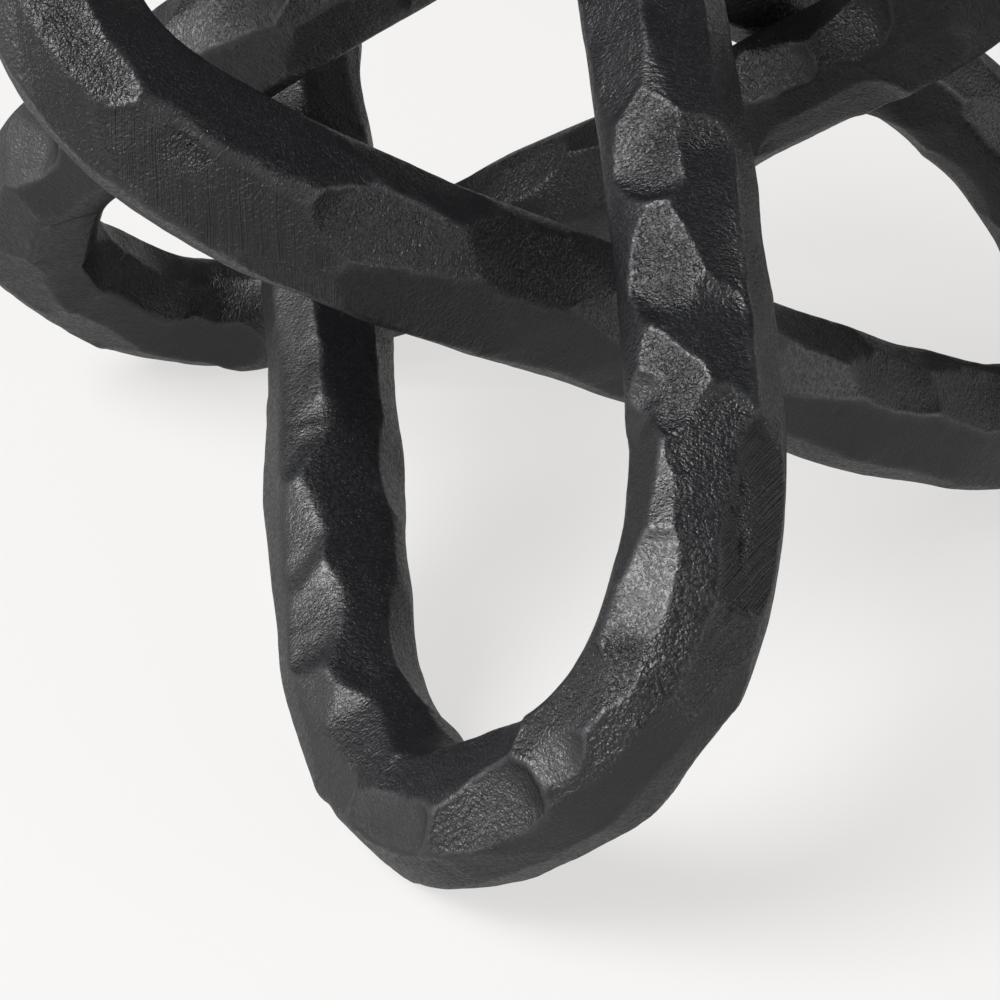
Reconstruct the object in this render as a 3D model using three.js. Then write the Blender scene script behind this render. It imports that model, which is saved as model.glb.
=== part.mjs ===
// Metal link sculpture: three loose closed links, each one hammered casting, threaded
// through each other so that they lean together like a three-legged jack.
// Millimetres, +Z up. -Y is the front, where the front link touches down.
import * as THREE from 'three';
import { mergeVertices } from 'three/addons/utils/BufferGeometryUtils.js';

// Driving sizes of one link, measured over the metal
const rodDiameter = 20.5;
const linkLength = 212;
const linkWidth = 94;
const ovalSquareness = 3;

// Clearance between two links where they lean on each other
const leanClearance = 0.3;

// Depth of the flat ground on each link where it stands on the floor
const footDepth = 1;

// Hammered flats: their spacing along the rod, how many lie around it, how deep they cut,
// the radius of the shallow scoop that each leaves, and how far from a resting place they stop
const flatPitch = 12;
const flatsAround = 7;
const flatDepth = 1.2;
const flatVariation = 0.5;
const scoopRadius = 45;
const quietRadius = 9;

const rowJitter = 0.6;
const columnJitter = 0.5;

// How far round the rod one flat can reach, as a cosine
const flatSweep = 0.5;

// Fineness of the mesh along the rod and around it
const ringSpacing = 4.2;
const sidesAround = 16;

// Seating the links against each other: spacing of the tested points, the most rounds, the
// share of an error taken out by each of two links in one round, the flattest push allowed
// for a steep lean (its squared length in plan), and the error that is left alone
const seatStep = 1.2;
const seatRounds = 300;
const seatShare = 0.25;
const steepestLean = 0.15;
const seatTolerance = 0.002;

// How each link leans: heading of its long axis, rise above the floor and roll about that
// axis in degrees, how far its middle bows out of its plane, and where it stands in plan
const leans = [
  { name: 'front_link', heading: 96.4, rise: 26.7, roll: -49.1, bow: -2.4, x: -15.6, y: 0.3, phase: 0.3 },
  { name: 'right_link', heading: 201.1, rise: 28.7, roll: -35.1, bow: 4.2, x: 8.3, y: 18.6, phase: 1.7 },
  { name: 'left_link', heading: 343.4, rise: 35, roll: -52.2, bow: -1.2, x: -4.1, y: 29, phase: 2.9 },
];

const rodRadius = rodDiameter / 2;
const halfLength = (linkLength - rodDiameter) / 2;
const halfWidth = (linkWidth - rodDiameter) / 2;
const fullTurn = 2 * Math.PI;

// Centreline of a link: a rounded oblong in the XY plane, bowed a little along Z
class LinkOval extends THREE.Curve {
  constructor(bow) {
    super();
    this.bow = bow;
    this.arcLengthDivisions = 1200;
  }

  getPoint(t, target = new THREE.Vector3()) {
    const along = Math.cos(fullTurn * t);
    const across = Math.sin(fullTurn * t);
    const longPart = Math.abs(along / halfLength) ** ovalSquareness;
    const widePart = Math.abs(across / halfWidth) ** ovalSquareness;
    const reach = (longPart + widePart) ** (-1 / ovalSquareness);
    const x = reach * along;
    return target.set(x, reach * across, this.bow * (1 - (x / halfLength) ** 2));
  }
}

// Turn of a link from its own frame to the sculpture's
function leanRotation({ heading, rise, roll }) {
  const rad = THREE.MathUtils.degToRad;
  const turns = new THREE.Euler(rad(roll), rad(-rise), rad(heading), 'ZYX');
  return new THREE.Quaternion().setFromEuler(turns);
}

// Centreline points, turned but not yet moved
function turnedCentreline(link) {
  const count = Math.round(link.curve.getLength() / seatStep);
  const points = link.curve.getSpacedPoints(count);
  points.pop();
  return points.map((point) => point.applyQuaternion(link.rotation));
}

function closestPoints(first, second) {
  const best = { distance: Infinity };
  const p = new THREE.Vector3();
  const q = new THREE.Vector3();
  for (const a of first.centreline) {
    p.addVectors(a, first.position);
    for (const b of second.centreline) {
      const distance = p.distanceToSquared(q.addVectors(b, second.position));
      if (distance < best.distance) {
        best.distance = distance;
        best.p = p.clone();
        best.q = q.clone();
      }
    }
  }
  best.distance = Math.sqrt(best.distance);
  return best;
}

const pairs = [[0, 1], [0, 2], [1, 2]];

// Slides the links over the floor until each two of them touch, apart from the clearance
function seatLinks(links) {
  const wanted = rodDiameter + leanClearance;
  for (let round = 0; round < seatRounds; round += 1) {
    let worst = 0;
    for (const [i, j] of pairs) {
      const { p, q, distance } = closestPoints(links[i], links[j]);
      const error = wanted - distance;
      worst = Math.max(worst, Math.abs(error));
      const push = p.sub(q).divideScalar(distance).setZ(0);
      push.multiplyScalar((seatShare * error) / Math.max(push.lengthSq(), steepestLean));
      links[i].position.add(push);
      links[j].position.sub(push);
    }
    if (worst < seatTolerance) {
      return;
    }
  }
}

// A repeatable number from 0 to 1 for each flat of each link
function vary(row, column, phase) {
  const wave = Math.sin(row * 12.9898 + column * 78.233 + phase * 37.719) * 43758.5453;
  return wave - Math.floor(wave);
}

// The rod's own axes at a place along it: outwards in the link's plane, and out of that plane
function rodAxes(curve, u) {
  const tangent = curve.getTangentAt(u);
  const outward = tangent.clone().cross(new THREE.Vector3(0, 0, 1)).normalize();
  return { centre: curve.getPointAt(u), outward, upward: outward.clone().cross(tangent) };
}

// Staggered rows of hammered flats, left out near the places where the link rests
function hammeredFlats(link, quietSpots) {
  const perimeter = link.curve.getLength();
  const rows = Math.round(perimeter / flatPitch);
  const flats = [];
  for (let row = 0; row < rows; row += 1) {
    for (let column = 0; column < flatsAround; column += 1) {
      const shift = (column % 2) / 2 + rowJitter * (vary(row, column, link.phase) - 0.5);
      const u = ((row + shift + 1) / rows) % 1;
      const turn = column + columnJitter * vary(row, column + 20, link.phase);
      const angle = turn * (fullTurn / flatsAround);
      const shallower = flatVariation * vary(row, column + 40, link.phase);
      const reach = rodRadius - flatDepth * (1 - shallower);
      const { centre, outward, upward } = rodAxes(link.curve, u);
      const spot = centre.addScaledVector(outward, rodRadius * Math.cos(angle));
      spot.addScaledVector(upward, rodRadius * Math.sin(angle));
      spot.applyQuaternion(link.rotation).add(link.position);
      if (quietSpots.every((quiet) => quiet.distanceTo(spot) > quietRadius)) {
        flats.push({ along: u * perimeter, angle, reach });
      }
    }
  }
  return flats;
}

// Distance from the centreline to the skin: the round rod, or the deepest flat there
function skinReach(flats, perimeter, along, angle) {
  let reach = rodRadius;
  for (const flat of flats) {
    const gap = Math.abs(along - flat.along);
    const x = Math.min(gap, perimeter - gap);
    const lean = Math.cos(angle - flat.angle);
    if (x < flatPitch && lean > flatSweep) {
      reach = Math.min(reach, (flat.reach + (x * x) / (2 * scoopRadius)) / lean);
    }
  }
  return reach;
}

function linkGeometry(link, quietSpots) {
  const perimeter = link.curve.getLength();
  const rings = Math.round(perimeter / ringSpacing);
  const tube = new THREE.TubeGeometry(link.curve, rings, rodRadius, sidesAround, true);
  tube.deleteAttribute('normal');
  tube.deleteAttribute('uv');
  const skin = tube.getAttribute('position');
  const flats = hammeredFlats(link, quietSpots);
  const unturn = link.rotation.clone().invert();
  const point = new THREE.Vector3();
  for (let ring = 0; ring <= rings; ring += 1) {
    const u = (ring % rings) / rings;
    const { centre, outward, upward } = rodAxes(link.curve, u);
    for (let side = 0; side <= sidesAround; side += 1) {
      const index = ring * (sidesAround + 1) + side;
      point.fromBufferAttribute(skin, index).sub(centre).normalize();
      const angle = Math.atan2(point.dot(upward), point.dot(outward));
      point.multiplyScalar(skinReach(flats, perimeter, u * perimeter, angle)).add(centre);
      // the foot: nothing reaches below the floor
      point.applyQuaternion(link.rotation).add(link.position);
      point.setZ(Math.max(point.z, 0));
      point.sub(link.position).applyQuaternion(unturn);
      skin.setXYZ(index, point.x, point.y, point.z);
    }
  }
  return mergeVertices(tube, 1e-3);
}

const links = leans.map((lean) => {
  const { name, phase } = lean;
  const link = { name, phase, curve: new LinkOval(lean.bow), rotation: leanRotation(lean) };
  link.centreline = turnedCentreline(link);
  const lowest = Math.min(...link.centreline.map((point) => point.z));
  link.position = new THREE.Vector3(lean.x, lean.y, rodRadius - footDepth - lowest);
  return link;
});
seatLinks(links);

// Places that stay round: where two links lean on each other, and each link's foot
const quietSpots = pairs.map(([i, j]) => {
  const { p, q } = closestPoints(links[i], links[j]);
  return p.add(q).divideScalar(2);
});
for (const link of links) {
  const lowest = link.centreline.reduce((low, point) => (point.z < low.z ? point : low));
  quietSpots.push(lowest.clone().add(link.position).setZ(0));
}

const blackPaint = { color: 0x1d1e20, roughness: 0.55, metalness: 0.2 };
const group = new THREE.Group();
for (const link of links) {
  const material = new THREE.MeshStandardMaterial(blackPaint);
  const mesh = new THREE.Mesh(linkGeometry(link, quietSpots), material);
  mesh.name = link.name;
  mesh.quaternion.copy(link.rotation);
  mesh.position.copy(link.position);
  group.add(mesh);
}

// Stand the sculpture with the middle of its outline over the origin
const middle = new THREE.Box3().setFromObject(group, true).getCenter(new THREE.Vector3());
for (const mesh of group.children) {
  mesh.position.x -= middle.x;
  mesh.position.y -= middle.y;
}

export default group;
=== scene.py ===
import math
from itertools import combinations

import bpy
import numpy as np
from mathutils import Euler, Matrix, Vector, noise


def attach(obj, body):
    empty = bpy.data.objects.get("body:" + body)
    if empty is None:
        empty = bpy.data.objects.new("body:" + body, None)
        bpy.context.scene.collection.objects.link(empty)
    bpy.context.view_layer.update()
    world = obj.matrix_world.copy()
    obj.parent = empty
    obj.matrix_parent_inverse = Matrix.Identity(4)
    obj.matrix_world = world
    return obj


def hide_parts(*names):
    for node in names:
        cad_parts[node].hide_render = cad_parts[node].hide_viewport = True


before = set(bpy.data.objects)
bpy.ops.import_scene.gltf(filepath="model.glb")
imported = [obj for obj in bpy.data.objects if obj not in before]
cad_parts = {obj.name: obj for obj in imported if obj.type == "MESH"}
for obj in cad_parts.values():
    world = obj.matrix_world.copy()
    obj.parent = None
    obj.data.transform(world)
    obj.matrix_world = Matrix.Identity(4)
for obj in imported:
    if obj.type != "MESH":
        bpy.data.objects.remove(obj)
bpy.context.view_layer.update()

mmPerMetre = 1000

# The rod and the oblong that all three links share, in mm
rod = {
    "radius": 10.25,
    "linkLength": 212.0,
    "linkWidth": 94.0,
    "squareness": 3.0,
    "samples": 3000,        # points along the centreline before it is spaced out evenly
    "rings": 850,
    "sides": 108,
    "tangentStep": 0.4,
    "ridgeSpan": 2,         # rings and sides over which a ridge is looked for
    "ridgeFrom": 0.035,     # how far a ridge stands out where its paler paint (wear and painted sheen) starts and is full
    "ridgeTo": 0.13,
    "seamWidth": 0.2,       # strokes stop this near the edge of a filed flat
    "seamReach": 9.0,       # past this gap between two flats there is no edge
    "steepest": 40.0,       # limit of a flat's weight, as a power of e
    "roundGrain": 0.5,      # grain where the rod is left round
    "grainBlur": 3,         # rounds of smoothing of the grain's edges
    "wander": 0.55,         # how far the edges of the flats stray, and over what length
    "wanderSize": 5.0,
    "tremble": 0.2,         # the same, finer
    "trembleSize": 1.7,
    "wobble": 0.18,         # slow unevenness of the casting
    "wobbleSize": 7.0,
    "lumps": 0.07,          # finer lumps
    "lumpSize": 2.2,
    "grainStretch": 1.45,   # the grain is this much finer along the rod than round it
    "noiseSeed": 7,
}

# Hammered flats that cover what no listed flat does, as on the solids
hammer = {
    "pitch": 12.0,
    "around": 7,
    "depth": 1.2,
    "variation": 0.5,
    "rowJitter": 0.6,
    "columnJitter": 0.5,
    "scoop": 45.0,
    "sweep": 0.5,           # how far round the rod one flat can reach, as a cosine
    "quiet": 9.0,           # nothing is hammered this close to a quiet spot
    "grain": 0.45,
}

# Flats placed one by one
facet = {
    "endRise": 32.0,        # a flat runs out at its two ends with this times the softness
    "endRound": 26.0,       # and how blunt those ends are, seen from above
    "skew": 0.35,           # how slanting the ends can be
    "runOut": 10.0,         # how far beyond its ends it is followed
    "hollow": 0.4,          # how much deeper its middle is than its ends
    "sweep": 0.4,
}

# One flat: mm along the rod, degrees round it, depth in mm, half length in mm, tilt in degrees,
# grain, and if need be how slanting its ends are; where it is filed, also the direction of the
# strokes in degrees from the rod and their depth
frontFlats = [
    # right leg, inner side, from the top down
    (353, 92, 1.45, 19, 1, 0.65), (326.5, 75, 1.6, 5.6, -8, 0.7, -0.25),
    (309.5, 67, 1.8, 6.2, -11, 0.8, -0.1), (296.5, 43, 2.2, 4.5, 12, 0.3, 0),
    (293.4, 71, 1.5, 6.2, -10, 0.8, 0), (286, 92, 1.5, 2.2, 18, 0.4, 0),
    (277.5, 44, 2.2, 8.5, 4, 0.5, 0.1), (276, 113, 1.5, 10, 4, 0.15),
    (277.5, 73, 1.0, 6.5, -2, 0.35, 0), (262.5, 73, 1.9, 6.5, 0, 0.2, 0.1),
    (252.5, 77, 1.5, 3.2, 8, 0.8),
    # right leg, front
    (353, 33, 1.5, 22, 2, 0.45), (304, 32, 1.55, 21, 1, 0.5, 0.1),
    (262, 45.5, 1.95, 10, 0, 0.32, 0.1), (274, 9, 2.0, 9, 0, 0.5, 0.1, -43, 2.9),
    (258, 14, 1.75, 6.5, 0, 0.6, 0.1, -36, 1.2), (250, -6, 1.5, 7, 0, 0.3),
    # right leg, outer edge
    (347, -16, 1.3, 19, 0, 0.4), (308, -16, 1.2, 20, 0, 0.4), (248.5, -42, 1.4, 4, 0, 0.3),
    # low bend
    (246, -12, 1.8, 6, 0, 0.2), (243, 22, 1.8, 14, 0, 0.2, 0, -10, 0.5), (246, 50, 1.5, 7, 0, 0.6),
    (245, 98, 1.6, 7.5, 2, 0.6), (238.5, 79, 1.5, 2.6, 18, 0.35, 0),
    (225.5, 68, 1.4, 7.2, 14, 0.55, 0), (224, 12, 1.7, 9, 0, 0.3, 0, -30, 0.7),
    (221, -14, 2.0, 8, 0, 0.25), (235, -14, 1.6, 5, 0, 0.25), (222, 120, 1.8, 12, 0, 0.35, 0),
    (211, 80, 1.1, 6, 6, 0.3, 0), (203, 112, 1.8, 8.5, -6, 0.45, 0), (194, 76, 1.4, 7, 6, 0.4),
    (210, 22, 2.1, 9, 0, 0.4), (234, -45, 0.9, 8, 0, 0.3),
    # left leg, outer side
    (187, 94, 1.6, 6.5, 4, 0.35), (178.5, 99, 1.8, 3.4, -7, 0.4),
    (170, 110, 1.85, 6.4, 10, 0.35), (156.5, 106, 1.4, 6, 8, 0.3, 0.5),
    (139.5, 120, 1.5, 2.6, 10, 0.25), (130, 105, 1.35, 16, 1.5, 0.2),
    (153, 143, 1.95, 7.5, 0, 0.2), (184, 140, 1.95, 8, 0, 0.25), (150, 69, 1.45, 26, 0, 0.2),
    (118, 58, 1.3, 10, 0, 0.3), (184, 60, 1.2, 8, 0, 0.3),
    # left leg, inner side
    (128, 154, 1.55, 20, 0, 0.2), (171, 150, 1.6, 24, -1, 0.2), (204, 150, 1.6, 8, 0, 0.3),
    (130, 206, 1.5, 10, 0, 0.3), (148, 206, 1.6, 5, 0, 0.3), (165, 208, 0.4, 8, 0, 0.3),
    (185, 200, 1.6, 9, 0, 0.3), (203, 190, 0.8, 7, 0, 0.3),
    (80, 172, 1.4, 9, 0, 0.35), (74, 192, 0.9, 9, 0, 0.35), (95, 160, 1.4, 7, 0, 0.35),
]
rightFlats = [
    # near bar, upper face
    (30, 96, 1.5, 28, 0, 0.5), (68, 112, 1.0, 9, 0, 0.4), (88, 80, 1.5, 9, 0, 0.7),
    (102, 100, 1.3, 7, 0, 0.5),
    # near bar, front
    (16, 49, 1.65, 10, 0, 0.7, 0), (21, 14, 1.3, 10, 0, 0.6, 0, -42, 2.6),
    (44, 24, 1.5, 14, 0, 0.7, 0, -60, 2.6), (68, 60, 1.5, 9, -5, 0.65),
    (58, 3, 0.8, 7, 0, 0.5, 0, -60, 2), (75, 17, 1.5, 11, 0, 0.25),
    (95, 23, 1.5, 11, 0, 0.15), (103, 55, 1.4, 6, 0, 0.5), (12, 5, 1.2, 8, 0, 0.4),
    (110, 15, 1.4, 9, 0, 0.2),
    # near bar, under edge
    (20, -34, 0.8, 9, 0, 0.4), (42, -30, 0.5, 12, 0, 0.4), (62, -34, 0.7, 8, 0, 0.4),
    (78, -32, 0.6, 8, 0, 0.3), (96, -28, 0.8, 9, 0, 0.3),
    # bar on the right
    (137, 64, 1.6, 6, -4, 0.25), (138, 111, 1.4, 8, 0, 0.3), (153, 83, 1.4, 7, 0, 0.25),
    (170, 86, 1.4, 7, 0, 0.35), (143, 26, 1.6, 9, 0, 0.15), (162, 29, 1.6, 12, 0, 0.12),
    (180, 28, 1.5, 8, 0, 0.15), (158, 120, 0.9, 8, 0, 0.35), (142, -14, 0.9, 9, 0, 0.2),
    (162, -14, 0.9, 9, 0, 0.2),
    # far bar at the top right
    (281, 106, 1.5, 7, 0, 0.45), (268, 130, 1.4, 7, 0, 0.35), (287, 160, 1.5, 7, 0, 0.3),
    (272, 172, 1.5, 8, 0, 0.25), (259, 175, 1.4, 7, 0, 0.25), (281, 226, 1.2, 6, 0, 0.3),
    (265, 206, 1.0, 8, 0, 0.3),
]
leftFlats = [
    # low bend at the left
    (271, 344, 1.5, 6, 20, 0.3), (288, 340, 1.4, 7, 0, 0.4), (278, 300, 1.5, 6, 0, 0.3),
    (262, 310, 1.5, 6, 0, 0.3), (245, 200, 1.5, 8, 0, 0.35), (226, 200, 1.5, 9, 0, 0.35),
    (262, 250, 1.4, 7, 0, 0.3), (248, 250, 1.4, 7, 0, 0.3), (230, 250, 1.5, 9, 0, 0.3),
    (211, 245, 1.5, 9, 0, 0.3), (248, 293, 2.2, 6, 0, 0.3), (232, 288, 2.0, 7, 0, 0.3),
    (216, 298, 1.6, 8, 0, 0.3), (205, 194, 1.4, 12, 0, 0.25), (241, 312, 1.2, 7, 0, 0.3),
    (266, 355, 1.4, 6, 0, 0.4),
    # raised bar at the top left
    (318, 348, 1.9, 11, 9, 0.25), (319, 288, 1.5, 7, 0, 0.3), (334, 270, 1.5, 9, 0, 0.25),
    (337, 320, 1.4, 8, 0, 0.35), (304, 310, 1.4, 6, 0, 0.35), (350, 300, 1.4, 8, 0, 0.35),
    # raised bar at the top right
    (96, 190, 1.5, 6, -6, 0.4), (83, 194, 1.4, 7, -12, 0.4), (69, 218, 1.5, 9, 0, 0.2),
    (90, 242, 1.4, 9, 0, 0.3), (74, 258, 1.4, 8, 0, 0.3), (102, 235, 1.3, 6, 0, 0.3),
    (55, 230, 1.4, 7, 0, 0.35), (85, 160, 1.4, 8, 0, 0.35), (90, 277, 2.6, 9, 0, 0.35),
    (98, 300, 2.1, 9, 0, 0.3),
    # far part behind the crossing
    (142, 175, 1.5, 7, 0, 0.35), (133, 205, 1.4, 7, 0, 0.35), (148, 215, 1.4, 7, 0, 0.3),
    (152, 165, 0.9, 6, 0, 0.35),
]

# Each link: how it leans in degrees, how much its middle bows, where its centre is, how rounded
# the edges of its flats are, its flats, and the stretches (from and to, along the rod and round
# it) that have listed flats only. A swell is mm along, half its length and how much thicker
# the rod is there in mm; softer places have rounder edges in the same way; a sway has a shift to
# the right and one up. A rough spot is mm along, degrees round, half its length, half its width
# and the grain it adds; a pit is the same with its depth in mm.
links = {
    "front_link": {
        "piece": "frontLinkCasting",
        "heading": 96.4, "rise": 26.7, "roll": -49.1, "bow": -2.4,
        "centre": (-16.068, -0.524, 64.371),
        "phase": 0.3,
        "softness": 0.13,
        "softer": [(165, 45, 0.2)],
        "swells": [(152, 22, 0.8), (203, 9, 0.6), (217, 7, 0.4)],
        "sways": [(108, 36, 1.7, 0), (133, 12, 0.8, 0), (181, 8, -1.1, 0), (275, 25, 0.9, 0)],
        "roughSpots": [
            (276, 13, 3, 1.8, 2.0), (271, 7, 2, 1.5, 2.0), (306, 14, 7, 3, 0.6),
            (256, 22, 5, 3, 0.3), (360, 40, 10, 4, 0.4), (327, 33, 3.5, 5, 1.0),
            (257, 84, 1.8, 6, 0.6), (306, -5, 9, 3, 0.4),
        ],
        "pits": [
            (263, 5, 0.45, 0.45, 0.5), (270.5, 6, 1.0, 0.5, 0.4), (277.6, 12, 0.9, 0.4, 0.25),
            (274.6, 16, 0.6, 0.9, 0.25), (238.5, 52, 0.8, 0.6, 0.3), (291, 33, 0.3, 0.3, 0.2),
        ],
        "flats": frontFlats,
        "worked": [(104, 208, 40, 222), (198, 372, -50, 130), (66, 104, 140, 222)],
    },
    "right_link": {
        "piece": "rightLinkCasting",
        "heading": 201.1, "rise": 28.7, "roll": -35.1, "bow": 4.2,
        "centre": (8.327, 19.020, 62.376),
        "phase": 1.7,
        "softness": 0.2,
        "softer": [],
        "swells": [(66, 38, 1.1), (158, 22, 0.5), (45, 14, 0.25)],
        "sways": [(160, 22, 0, -0.4), (45, 14, 0.1, -0.25)],
        "roughSpots": [
            (20, 50, 7, 2.2, 0.5), (37.5, 47, 2.8, 2.4, 1.6), (48, 45, 12, 3, 0.3),
            (60, 55, 8, 4, 0.25), (10, 12, 6, 4, 0.5), (40, -28, 30, 1.6, 0.8),
        ],
        "pits": [
            (39.5, 47, 0.7, 0.5, 0.35), (37.5, 50, 0.5, 0.6, 0.3), (36, 54, 0.5, 0.4, 0.25),
            (28, 40, 0.5, 0.4, 0.2), (143, 40, 0.7, 0.7, 0.3),
        ],
        "flats": rightFlats,
        "worked": [(2, 186, -45, 128), (252, 294, 90, 225)],
    },
    "left_link": {
        "piece": "leftLinkCasting",
        "heading": 343.4, "rise": 35.0, "roll": -52.2, "bow": -1.2,
        "centre": (-3.592, 27.858, 74.254),
        "phase": 2.9,
        "softness": 0.16,
        "softer": [],
        "swells": [(150, 20, 0.6)],
        "sways": [(144, 14, 0, 0.6), (272, 12, -1.1, 1.2)],
        "roughSpots": [],
        "pits": [],
        "flats": leftFlats,
        "worked": [(202, 356, 180, 366), (50, 106, 145, 290), (126, 156, 100, 230)],
    },
}


# Evenly spaced rings: each one's place along the rod, centre, outward and upward directions
def spacedRings(bow):
    halfLength = rod["linkLength"] / 2 - rod["radius"]
    halfWidth = rod["linkWidth"] / 2 - rod["radius"]
    power = rod["squareness"]
    turn = np.linspace(0, 2 * np.pi, rod["samples"] + 1)
    along, across = np.cos(turn), np.sin(turn)
    size = np.abs(along / halfLength) ** power + np.abs(across / halfWidth) ** power
    x, y = along * size ** (-1 / power), across * size ** (-1 / power)
    line = np.stack([x, y, bow * (1 - (x / halfLength) ** 2)], 1)
    run = np.concatenate([[0], np.cumsum(np.linalg.norm(np.diff(line, axis=0), axis=1))])
    perimeter = run[-1]

    def pointsAt(where):
        return np.stack([np.interp(where % perimeter, run, line[:, i]) for i in range(3)], 1)

    ringAt = np.arange(rod["rings"]) * perimeter / rod["rings"]
    tangent = pointsAt(ringAt + rod["tangentStep"]) - pointsAt(ringAt - rod["tangentStep"])
    tangent /= np.linalg.norm(tangent, axis=1)[:, None]
    outward = np.cross(tangent, (0, 0, 1))
    outward /= np.linalg.norm(outward, axis=1)[:, None]
    return perimeter, ringAt, pointsAt(ringAt), outward, np.cross(outward, tangent)


# Points of a link's own frame, placed in the sculpture
def placed(link, points):
    angles = [math.radians(angle) for angle in (link["roll"], -link["rise"], link["heading"])]
    turned = np.array(Euler(angles, "XYZ").to_matrix())
    return points @ turned.T + np.array(link["centre"])


# Where each two links lean on each other, and under each link's lowest place
def findQuietSpots():
    lines = [placed(link, spacedRings(link["bow"])[2]) for link in links.values()]
    spots = []
    for first, second in combinations(lines, 2):
        gaps = np.linalg.norm(first[:, None] - second[None], axis=2)
        onFirst, onSecond = np.unravel_index(gaps.argmin(), gaps.shape)
        spots.append((first[onFirst] + second[onSecond]) / 2)
    for line in lines:
        lowest = line[line[:, 2].argmin()]
        spots.append(lowest * (1, 1, 0))
    return spots


# A repeatable number from 0 to 1 for each hammered flat, the same as the solids use
def vary(row, column, phase):
    wave = math.sin(row * 12.9898 + column * 78.233 + phase * 37.719) * 43758.5453
    return wave - math.floor(wave)


# Whether a place is in a stretch that has listed flats only
def isWorked(link, along, turn):
    for low, high, turnLow, turnHigh in link["worked"]:
        if low <= along <= high and (turn - turnLow) % 360 <= turnHigh - turnLow:
            return True
    return False


# The staggered flats of the solid, less those in worked stretches and near quiet spots
def hammeredFlats(link, perimeter, spotAt, quietSpots):
    rows = round(perimeter / hammer["pitch"])
    flats = []
    for row in range(rows):
        for column in range(hammer["around"]):
            jitter = hammer["rowJitter"] * (vary(row, column, link["phase"]) - 0.5)
            at = ((row + (column % 2) / 2 + jitter + 1) / rows) % 1 * perimeter
            turn = column + hammer["columnJitter"] * vary(row, column + 20, link["phase"])
            turn *= 360 / hammer["around"]
            shallower = hammer["variation"] * vary(row, column + 40, link["phase"])
            spot = spotAt(at, turn)
            near = min(np.linalg.norm(spot - quiet) for quiet in quietSpots)
            if near > hammer["quiet"] and not isWorked(link, at, turn):
                flats.append((at, turn, hammer["depth"] * (1 - shallower)))
    return flats


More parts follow.
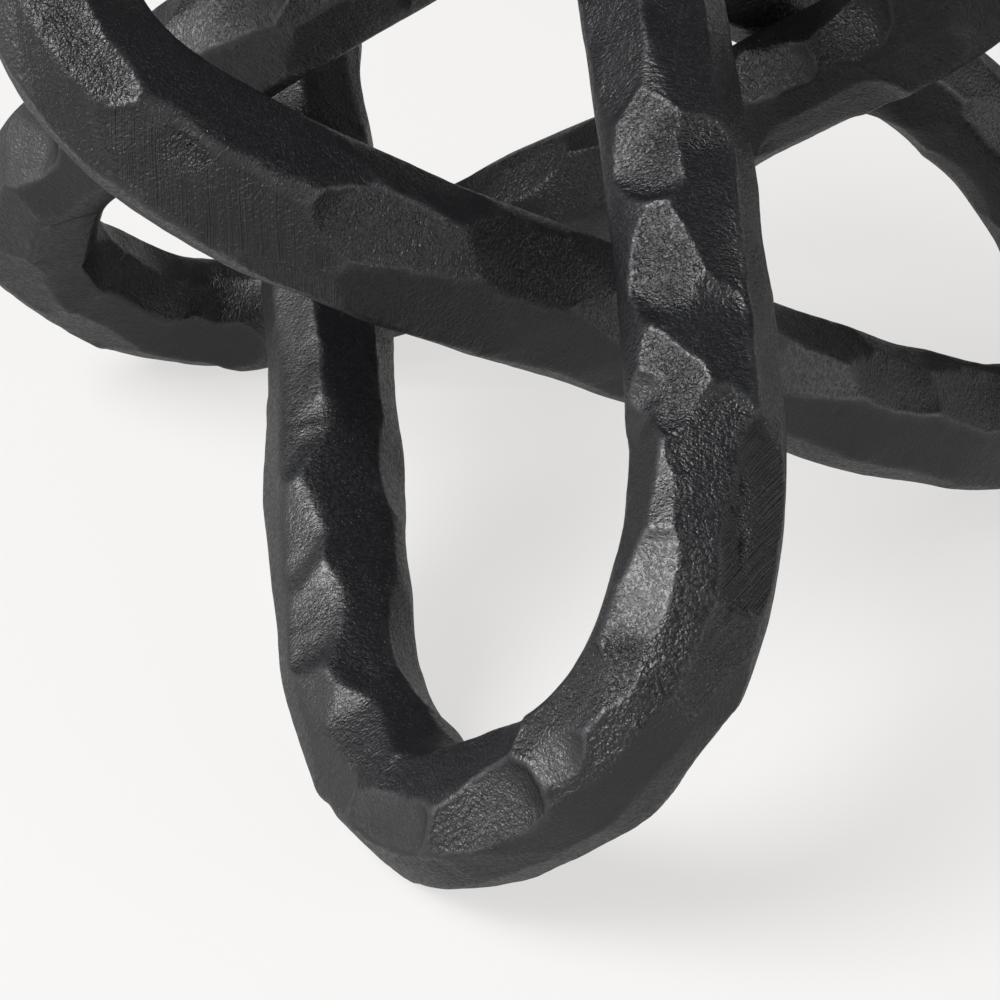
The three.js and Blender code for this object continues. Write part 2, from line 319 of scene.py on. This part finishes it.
# Cuts every flat into the round rod. The skin holds, for each ring and side, how far it is from
# the centreline, how grainy it is and what file strokes it has.
class Skin:
    def __init__(self, perimeter, ringAt, sideTurn, wander, softness, softer):
        shape = (len(ringAt), len(sideTurn))
        self.perimeter, self.ringAt, self.sideTurn = perimeter, ringAt, sideTurn
        self.wander = wander
        self.softness = softness + self.stretches(softer)
        self.total = np.ones(shape)
        self.first = np.full(shape, rod["radius"])
        self.second = np.full(shape, rod["radius"] + 1)
        self.grainTotal = np.full(shape, rod["roundGrain"])
        self.strokeTotal = np.zeros(shape)
        self.strokeReach = np.full(shape, rod["radius"] + 1)
        self.strokeSpot = np.zeros((*shape, 3))

    # How far each ring and side is from a place, in mm along the rod and round it
    def gaps(self, at, turn):
        x = (self.ringAt - at + self.perimeter / 2) % self.perimeter - self.perimeter / 2
        swing = (self.sideTurn - math.radians(turn) + np.pi) % (2 * np.pi) - np.pi
        return x, swing * rod["radius"]

    # One flat. Its plane says how far its face is from the centreline, and near an edge the
    # faces on both sides are blended over the softness.
    def cut(self, at, turn, halfWidth, sweep, plane, grain, stroke=()):
        xAll, yAll = self.gaps(at, turn)
        rows = np.flatnonzero(np.abs(xAll) < halfWidth)
        columns = np.flatnonzero(np.cos(yAll / rod["radius"]) > sweep)
        cells = np.ix_(rows, columns)
        x = xAll[rows][:, None] + self.wander[0][cells]
        y = yAll[columns][None] + self.wander[1][cells]
        reach = plane(x, y, self.softness[rows]) / np.cos(y / rod["radius"])
        steep = rod["steepest"]
        weight = np.exp(np.clip((rod["radius"] - reach) / self.softness[rows], -steep, steep))
        self.total[cells] += weight
        self.grainTotal[cells] += weight * grain
        self.second[cells] = np.minimum(self.second[cells], np.maximum(self.first[cells], reach))
        self.first[cells] = np.minimum(self.first[cells], reach)
        if stroke:
            direction, depth = math.radians(stroke[0]), stroke[1]
            x, y = xAll[rows][:, None], yAll[columns][None]
            across = x * math.sin(direction) - y * math.cos(direction)
            down = x * math.cos(direction) + y * math.sin(direction)
            self.strokeTotal[cells] += weight * depth
            nearer = reach < self.strokeReach[cells]
            self.strokeReach[cells] = np.minimum(self.strokeReach[cells], reach)
            spot = np.stack([across, down, np.full_like(across, at)], -1)
            self.strokeSpot[cells] = np.where(nearer[..., None], spot, self.strokeSpot[cells])

    def hammerFlat(self, at, turn, depth):
        def plane(x, y, softness):
            return rod["radius"] - depth + x ** 2 / (2 * hammer["scoop"])
        self.cut(at, turn, hammer["pitch"], hammer["sweep"], plane, hammer["grain"])

    def placeFlat(self, at, turn, depth, halfLength, tilt, grain, skew=None, *stroke):
        if skew is None:
            skew = facet["skew"] * (2 * vary(at, turn, depth) - 1)

        def plane(x, y, softness):
            end = np.abs(x + skew * y) + y ** 2 / facet["endRound"]
            rise = np.maximum(end - halfLength, 0) ** 2 / (2 * facet["endRise"] * softness)
            hollow = facet["hollow"] * np.minimum(np.abs(x) / halfLength, 1) ** 2
            lean = x * math.tan(math.radians(tilt))
            return rod["radius"] - depth - lean + hollow + rise
        self.cut(at, turn, halfLength + facet["runOut"], facet["sweep"], plane, grain, stroke)

    # Stretches of the rod that fade out at both ends, each one with one amount or more
    def stretches(self, places, amounts=1):
        total = np.zeros((len(self.ringAt), amounts))
        for at, halfLength, *amount in places:
            total += np.exp(-(self.gaps(at, 0)[0] / halfLength) ** 2)[:, None] * amount
        return total

    # Soft round spots, each one with an amount: rough spots or pits
    def spots(self, places):
        total = np.zeros_like(self.total)
        for at, turn, halfLength, halfWidth, amount in places:
            x, y = self.gaps(at, turn)
            x = (x[:, None] + self.wander[0]) / halfLength
            y = (y[None] + self.wander[1]) / halfWidth
            total += amount * np.exp(-x ** 2 - y ** 2)
        return total

    # The skin once all its flats are cut: how far out it is, its grain and its file strokes
    def finished(self, roughSpots):
        reach = rod["radius"] - self.softness * np.log(self.total)
        grain = self.grainTotal / self.total
        for _ in range(rod["grainBlur"]):
            grain = (grain + neighbours(grain, 1)) / 2
        gap = np.clip(self.second - self.first, 0, rod["seamReach"])
        seam = np.exp(-gap / rod["seamWidth"])
        filed = self.strokeTotal / self.total * (1 - seam)
        return reach, grain + self.spots(roughSpots), filed


# The mean of the four values a few rings and sides away from each one
def neighbours(values, step):
    return sum(np.roll(values, way, axis) for way in (step, -step) for axis in (0, 1)) / 4


# The rod unrolled and closed to a ring again, so that the grain has no seam anywhere
def grainSpots(perimeter, ringAt, sideTurn):
    turn = (2 * np.pi / perimeter * ringAt)[:, None]
    reach = perimeter / (2 * np.pi) * rod["grainStretch"] + rod["radius"] * np.cos(sideTurn)[None]
    height = rod["radius"] * np.sin(sideTurn)[None] + 0 * turn
    return np.stack([reach * np.cos(turn), reach * np.sin(turn), height], -1)


# How far the edges of the flats stray, along the rod and round it, at each point of the round rod
def edgeWander(points, shape):
    drift = np.array([noise.noise_vector(point / rod["wanderSize"]) for point in points])
    shake = np.array([noise.noise_vector(point / rod["trembleSize"]) for point in points])
    return (rod["wander"] * drift + rod["tremble"] * shake)[:, :2].T.reshape(2, *shape)


# How deep the casting's own unevenness is at each point
def castingDents(points, shape):
    dents = 0
    for depth, size in ((rod["wobble"], rod["wobbleSize"]), (rod["lumps"], rod["lumpSize"])):
        level = np.array([noise.noise(point / size) for point in points])
        dents = dents + depth * (level * 0.5 + 0.5)
    return dents.reshape(shape)


# A closed tube of four-sided faces, with values and places at its points for the coat to read
def tubeMesh(name, points, shape, values, places):
    index = np.arange(len(points)).reshape(shape)
    nextRing, nextSide = np.roll(index, -1, 0), np.roll(index, -1, 1)
    quads = np.stack([index, nextSide, np.roll(nextRing, -1, 1), nextRing], -1).reshape(-1, 4)
    mesh = bpy.data.meshes.new(name)
    mesh.from_pydata((points / mmPerMetre).tolist(), [], quads.tolist())
    mesh.polygons.foreach_set("use_smooth", np.ones(len(quads), bool))
    for label, value in values.items():
        layer = mesh.attributes.new(label, "FLOAT", "POINT")
        layer.data.foreach_set("value", value.ravel().astype(np.float32))
    for label, place in places.items():
        layer = mesh.attributes.new(label, "FLOAT_VECTOR", "POINT")
        layer.data.foreach_set("vector", place.ravel().astype(np.float32))
    mesh.update()
    return mesh


# One link: its skin is cut, made uneven, swollen and swayed, and takes the place of the solid's
def buildLink(name, link, quietSpots):
    perimeter, ringAt, centres, outward, upward = spacedRings(link["bow"])

    def spotAt(at, turn):
        ring = int(at / perimeter * len(ringAt)) % len(ringAt)
        around = math.radians(turn)
        ray = outward[ring] * math.cos(around) + upward[ring] * math.sin(around)
        return placed(link, centres[ring] + rod["radius"] * ray)

    sideTurn = np.arange(rod["sides"]) * 2 * np.pi / rod["sides"]
    shape = (len(ringAt), len(sideTurn))
    rays = outward[:, None] * np.cos(sideTurn)[None, :, None]
    rays = rays + upward[:, None] * np.sin(sideTurn)[None, :, None]
    roundPoints = (centres[:, None] + rod["radius"] * rays).reshape(-1, 3)
    roundRod = [Vector(point) for point in roundPoints]
    wander = edgeWander(roundRod, shape)

    skin = Skin(perimeter, ringAt, sideTurn, wander, link["softness"], link["softer"])
    for flat in hammeredFlats(link, perimeter, spotAt, quietSpots):
        skin.hammerFlat(*flat)
    for flat in link["flats"]:
        skin.placeFlat(*flat)
    reach, grain, filed = skin.finished(link["roughSpots"])
    bulge = reach - neighbours(reach, rod["ridgeSpan"])
    ridge = np.clip((bulge - rod["ridgeFrom"]) / (rod["ridgeTo"] - rod["ridgeFrom"]), 0, 1)
    reach = reach - castingDents(roundRod, shape) - skin.spots(link["pits"])
    reach = reach + skin.stretches(link["swells"])
    points = placed(link, (centres[:, None] + reach[:, :, None] * rays).reshape(-1, 3))
    points[:, (0, 2)] += np.repeat(skin.stretches(link["sways"], 2), len(sideTurn), 0)
    points[:, 2] = np.maximum(points[:, 2], 0)  # the foot

    values = {"ridge": ridge, "grain": grain, "filed": filed}
    places = {"grainSpot": grainSpots(perimeter, ringAt, sideTurn), "strokeSpot": skin.strokeSpot}
    mesh = tubeMesh(link["piece"], points, shape, values, places)
    casting = bpy.data.objects.new(link["piece"], mesh)
    bpy.context.scene.collection.objects.link(casting)
    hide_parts(name)
    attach(casting, name)
    print(link["piece"], "built,", len(mesh.polygons), "faces")
    return casting


# without a seed, the noise that moves places about differs from run to run
noise.seed_set(rod["noiseSeed"])
quietSpots = findQuietSpots()
castings = [buildLink(name, link, quietSpots) for name, link in links.items()]

# Black paint over the sand-cast skin, with sizes in mm round the rod. A range is the noise value
# where a change begins and the one where it is full.
coat = {
    "colour": (0.0072, 0.0074, 0.0084),
    "wornAndSheen": (0.020, 0.0206, 0.0226),  # on the ridges: real wear, and in part a painted sheen of their rounded edges
    "specular": 0.4,
    "roughPits": 0.46,
    "smoothTops": 0.28,
    "smoothRange": (0.4, 0.6),      # of the sand, from pits to tops
    "sandSize": 0.7,
    "sandShare": 1.3,
    "sandDetail": (2, 0.55),        # octaves of the noise, and how strong the finer ones are
    "pebbleSize": 0.56,
    "pebbleShare": 0.7,
    "pebbleTop": 0.7,               # each pebble of the grain is level above this share
    "pebbleStray": 0.5,             # how far the pebbles are pushed out of shape, and how finely
    "straySize": 1.3,
    "coarseSize": 1.8,
    "coarseShare": 0.5,
    "coarseDetail": (1, 0.5),
    "grainDepth": 0.30,             # where the grain is 1
    "patchSize": 9.0,               # patches with more grain and more wear and painted sheen than others
    "patchDetail": (2, 0.5),
    "patchRange": (0.3, 0.7),
    "patchGrain": (0.75, 1.25),
    "wearAndSheenRange": (0.35, 0.6),
    "wearAndSheenMost": 0.7,
    "pinSize": 0.42,                # scattered pinholes
    "pinShare": 0.45,
    "pinDetail": (0, 0.5),
    "pinRange": (0.66, 0.76),
    "strokeWidth": 0.22,            # of a file stroke
    "strokeLength": 26.0,
    "strokeShare": 0.9,
    "strokeDetail": (1.5, 0.6),
    "ridgeCalm": 0.6,               # how much less grain the ridges have
    "edgeDull": 0.55,               # how much of the shine is lost at a glancing angle
    "glanceBlend": 0.5,
}


# Small helpers for a node tree: each makes one node, and takes numbers or other nodes' sockets
class NodeMaker:
    def __init__(self, tree):
        self.tree = tree

    def plug(self, socket, value):
        if isinstance(value, bpy.types.NodeSocket):
            self.tree.links.new(value, socket)
        else:
            socket.default_value = value

    def sums(self, operation, *values):
        node = self.tree.nodes.new("ShaderNodeMath")
        node.operation = operation
        for socket, value in zip(node.inputs, values):
            self.plug(socket, value)
        return node.outputs["Value"]

    def attribute(self, name, output):
        node = self.tree.nodes.new("ShaderNodeAttribute")
        node.attribute_name = name
        return node.outputs[output]

    def scaled(self, vector, factors):
        node = self.tree.nodes.new("ShaderNodeVectorMath")
        node.operation = "MULTIPLY"
        self.plug(node.inputs[0], vector)
        node.inputs[1].default_value = factors
        return node.outputs[0]

    def speckle(self, vector, size, detail, rough):
        node = self.tree.nodes.new("ShaderNodeTexNoise")
        self.plug(node.inputs["Vector"], vector)
        node.inputs["Scale"].default_value = 1 / size
        node.inputs["Detail"].default_value = detail
        node.inputs["Roughness"].default_value = rough
        return node.outputs["Fac"]

    def pebbles(self, vector, size):
        node = self.tree.nodes.new("ShaderNodeTexVoronoi")
        self.plug(node.inputs["Vector"], vector)
        node.inputs["Scale"].default_value = 1 / size
        return node.outputs["Distance"]

    # Pushes places about, by up to half the stray each way
    def strayed(self, vector, size, stray):
        field = self.tree.nodes.new("ShaderNodeTexNoise")
        self.plug(field.inputs["Vector"], vector)
        field.inputs["Scale"].default_value = 1 / size
        field.inputs["Detail"].default_value = 0
        node = self.tree.nodes.new("ShaderNodeVectorMath")
        node.operation = "MULTIPLY_ADD"
        self.plug(node.inputs[0], field.outputs["Color"])
        node.inputs[1].default_value = (2 * stray,) * 3
        self.plug(node.inputs[2], vector)
        return node.outputs[0]

    def ranged(self, value, low, high, toLow, toHigh):
        node = self.tree.nodes.new("ShaderNodeMapRange")
        node.interpolation_type = "SMOOTHSTEP"
        for name, entry in (("Value", value), ("From Min", low), ("From Max", high),
                            ("To Min", toLow), ("To Max", toHigh)):
            self.plug(node.inputs[name], entry)
        return node.outputs["Result"]


# The coat's relief is sand, pebbles and coarse lumps, scaled by the grain, and then pinholes and
# file strokes; its pits are rougher than its tops, and its ridges are painted paler, partly as
# wear and partly as a painted sheen
def blackCoat():
    material = bpy.data.materials.new("blackCoat")
    material.use_nodes = True
    tree = material.node_tree
    nodes, wires = tree.nodes, tree.links
    make = NodeMaker(tree)
    shader = nodes["Principled BSDF"]
    shader.inputs["Specular IOR Level"].default_value = coat["specular"]

    spot = make.attribute("grainSpot", "Vector")
    sand = make.speckle(spot, coat["sandSize"], *coat["sandDetail"])
    coarse = make.speckle(spot, coat["coarseSize"], *coat["coarseDetail"])
    patchy = make.speckle(spot, coat["patchSize"], *coat["patchDetail"])
    pebble = make.strayed(spot, coat["straySize"], coat["pebbleStray"])
    pebble = make.pebbles(pebble, coat["pebbleSize"])
    pins = make.speckle(spot, coat["pinSize"], *coat["pinDetail"])
    pins = make.ranged(pins, *coat["pinRange"], 0, -coat["pinShare"])
    pins = make.sums("MULTIPLY", pins, make.sums("MINIMUM", make.attribute("grain", "Fac"), 1))
    finer = (1 / coat["strokeWidth"], 1 / coat["strokeLength"], 1)
    strokes = make.scaled(make.attribute("strokeSpot", "Vector"), finer)
    strokes = make.speckle(strokes, 1, *coat["strokeDetail"])
    ridge = make.attribute("ridge", "Fac")

    relief = make.sums("MINIMUM", make.sums("MULTIPLY_ADD", pebble, -1, 1), coat["pebbleTop"])
    relief = make.sums("MULTIPLY", relief, coat["pebbleShare"])
    relief = make.sums("MULTIPLY_ADD", sand, coat["sandShare"], relief)
    relief = make.sums("MULTIPLY_ADD", coarse, coat["coarseShare"], relief)
    amount = make.ranged(patchy, *coat["patchRange"], *coat["patchGrain"])
    amount = make.sums("MULTIPLY", make.attribute("grain", "Fac"), amount)
    amount = make.sums("MULTIPLY", amount, make.sums("MULTIPLY_ADD", ridge, -coat["ridgeCalm"], 1))
    relief = make.sums("MULTIPLY_ADD", relief, amount, pins)
    cuts = make.sums("MULTIPLY", make.attribute("filed", "Fac"), coat["strokeShare"])
    cuts = make.sums("MULTIPLY", strokes, cuts)
    bump = nodes.new("ShaderNodeBump")
    bump.inputs["Strength"].default_value = 1
    bump.inputs["Distance"].default_value = coat["grainDepth"] / mmPerMetre
    wires.new(make.sums("ADD", relief, cuts), bump.inputs["Height"])
    wires.new(bump.outputs["Normal"], shader.inputs["Normal"])

    rough = make.ranged(sand, *coat["smoothRange"], coat["roughPits"], coat["smoothTops"])
    wires.new(rough, shader.inputs["Roughness"])
    tone = nodes.new("ShaderNodeMix")
    tone.data_type = "RGBA"
    tone.inputs["A"].default_value = (*coat["colour"], 1)
    tone.inputs["B"].default_value = (*coat["wornAndSheen"], 1)
    # the paler colour on the ridges is partly wear and partly a painted sheen where rounded edges
    # catch the light
    wearAndSheen = make.ranged(patchy, *coat["wearAndSheenRange"], 0, coat["wearAndSheenMost"])
    wires.new(make.sums("MULTIPLY", ridge, wearAndSheen), tone.inputs["Factor"])
    wires.new(tone.outputs["Result"], shader.inputs["Base Color"])

    # rough paint shines less at a glancing angle than smooth paint
    glance = nodes.new("ShaderNodeLayerWeight")
    glance.inputs["Blend"].default_value = coat["glanceBlend"]
    dull = nodes.new("ShaderNodeBsdfDiffuse")
    dull.inputs["Color"].default_value = (*coat["colour"], 1)
    share = make.sums("MULTIPLY", glance.outputs["Facing"], coat["edgeDull"])
    blend = nodes.new("ShaderNodeMixShader")
    wires.new(share, blend.inputs[0])
    wires.new(shader.outputs[0], blend.inputs[1])
    wires.new(dull.outputs[0], blend.inputs[2])
    wires.new(blend.outputs[0], nodes["Material Output"].inputs["Surface"])
    return material


paint = blackCoat()
for casting in castings:
    casting.data.materials.append(paint)
print("black coat on")

# The floor and the lights, in metres and watts
studio = {
    "floorColour": (0.826, 0.818, 0.806),
    "floorLift": 0.8,         # share of the floor's shown tone that its shadows don't darken
    "floorSize": 6.0,
    "keyPlace": (-0.83, -0.37, 1.04),
    "keyAim": (0, 0, 0.05),
    "keySize": (0.75, 0.7),
    "keyPower": 31.0,
    "roomDark": 0.1,
    "roomPale": 0.85,         # more than the dark, in a band round the horizon
    "bandRange": (0.12, 0.5),  # how high it reaches in full, and where it ends, as sines
    "backRange": (0.15, 0.9),  # how far back it starts to weaken, and where it is weakest
    "backPale": 0.3,
    # still more in a window at the right and a wide one at the left: which way each one lies,
    # the cosines between which it fades in, and how pale it is
    "windows": [
        ((0.86, -0.47, 0.2), 0.82, 0.96, 2.1),
        ((-0.921, -0.247, 0.301), 0.75, 0.97, 1.9),
    ],
}

# The camera of the photograph, in metres and degrees, with a lens in mm for a full-frame sensor
view = {
    "place": (-0.0111, -0.3346, 0.2332),
    "tilt": 56.2,
    "lens": 92.5,
    "sensor": 36,
    "nearest": 0.01,
}


# Plain to the lights; the camera and reflections see it lifted, with its shadows softened
def paleFloor():
    material = bpy.data.materials.new("paleFloor")
    material.use_nodes = True
    tree = material.node_tree
    nodes, wires = tree.nodes, tree.links
    make = NodeMaker(tree)
    nodes.remove(nodes["Principled BSDF"])
    colour, lift = studio["floorColour"], studio["floorLift"]
    plain = nodes.new("ShaderNodeBsdfDiffuse")
    plain.inputs["Color"].default_value = (*colour, 1)
    shown = nodes.new("ShaderNodeBsdfDiffuse")
    shown.inputs["Color"].default_value = (*(tone * (1 - lift) for tone in colour), 1)
    glow = nodes.new("ShaderNodeEmission")
    glow.inputs["Color"].default_value = (*colour, 1)
    glow.inputs["Strength"].default_value = lift
    lifted = nodes.new("ShaderNodeAddShader")
    wires.new(shown.outputs[0], lifted.inputs[0])
    wires.new(glow.outputs[0], lifted.inputs[1])
    path = nodes.new("ShaderNodeLightPath")
    seen = make.sums("ADD", path.outputs["Is Camera Ray"], path.outputs["Is Glossy Ray"])
    seen = make.sums("ADD", seen, path.outputs["Is Transmission Ray"])
    choose = nodes.new("ShaderNodeMixShader")
    wires.new(make.sums("MINIMUM", seen, 1), choose.inputs[0])
    wires.new(plain.outputs[0], choose.inputs[1])
    wires.new(lifted.outputs[0], choose.inputs[2])
    wires.new(choose.outputs[0], nodes["Material Output"].inputs["Surface"])
    return material


bpy.ops.mesh.primitive_plane_add(size=studio["floorSize"])
floor = bpy.context.object
floor.name = "floor"
floor.data.materials.append(paleFloor())


# A rectangular lamp that faces what it lights
def softbox(name, place, aim, size, power):
    data = bpy.data.lights.new(name, "AREA")
    data.shape = "RECTANGLE"
    data.size, data.size_y = size
    data.energy = power
    lamp = bpy.data.objects.new(name, data)
    lamp.location = place
    lamp.rotation_mode = "QUATERNION"
    lamp.rotation_quaternion = (Vector(aim) - Vector(place)).to_track_quat("-Z", "Y")
    bpy.context.scene.collection.objects.link(lamp)


softbox("keyWindow", studio["keyPlace"], studio["keyAim"], studio["keySize"], studio["keyPower"])


# A dim room with a pale band round the horizon, weaker at the back, and two windows
def roomLight():
    world = bpy.data.worlds.new("room")
    bpy.context.scene.world = world
    world.use_nodes = True
    tree = world.node_tree
    make = NodeMaker(tree)
    direction = tree.nodes.new("ShaderNodeSeparateXYZ")
    spot = tree.nodes.new("ShaderNodeTexCoord")
    tree.links.new(spot.outputs["Generated"], direction.inputs[0])
    band = make.ranged(direction.outputs["Z"], *studio["bandRange"], studio["roomPale"], 0)
    front = make.ranged(direction.outputs["Y"], *studio["backRange"], 1, studio["backPale"])
    strength = make.sums("ADD", make.sums("MULTIPLY", band, front), studio["roomDark"])
    for way, fadeFrom, fadeTo, pale in studio["windows"]:
        toWindow = tree.nodes.new("ShaderNodeVectorMath")
        toWindow.operation = "DOT_PRODUCT"
        tree.links.new(spot.outputs["Generated"], toWindow.inputs[0])
        toWindow.inputs[1].default_value = way
        glow = make.ranged(toWindow.outputs["Value"], fadeFrom, fadeTo, 0, pale)
        strength = make.sums("ADD", strength, glow)
    background = tree.nodes["Background"]
    background.inputs["Color"].default_value = (1, 1, 1, 1)
    tree.links.new(strength, background.inputs["Strength"])


roomLight()

camera = bpy.data.objects.new("camera", bpy.data.cameras.new("camera"))
camera.data.sensor_width = view["sensor"]
camera.data.lens = view["lens"]
camera.data.clip_start = view["nearest"]
camera.location = view["place"]
camera.rotation_euler = (math.radians(view["tilt"]), 0, 0)
bpy.context.scene.collection.objects.link(camera)
bpy.context.scene.camera = camera
bpy.context.scene.view_settings.view_transform = "Standard"
print("studio ready")
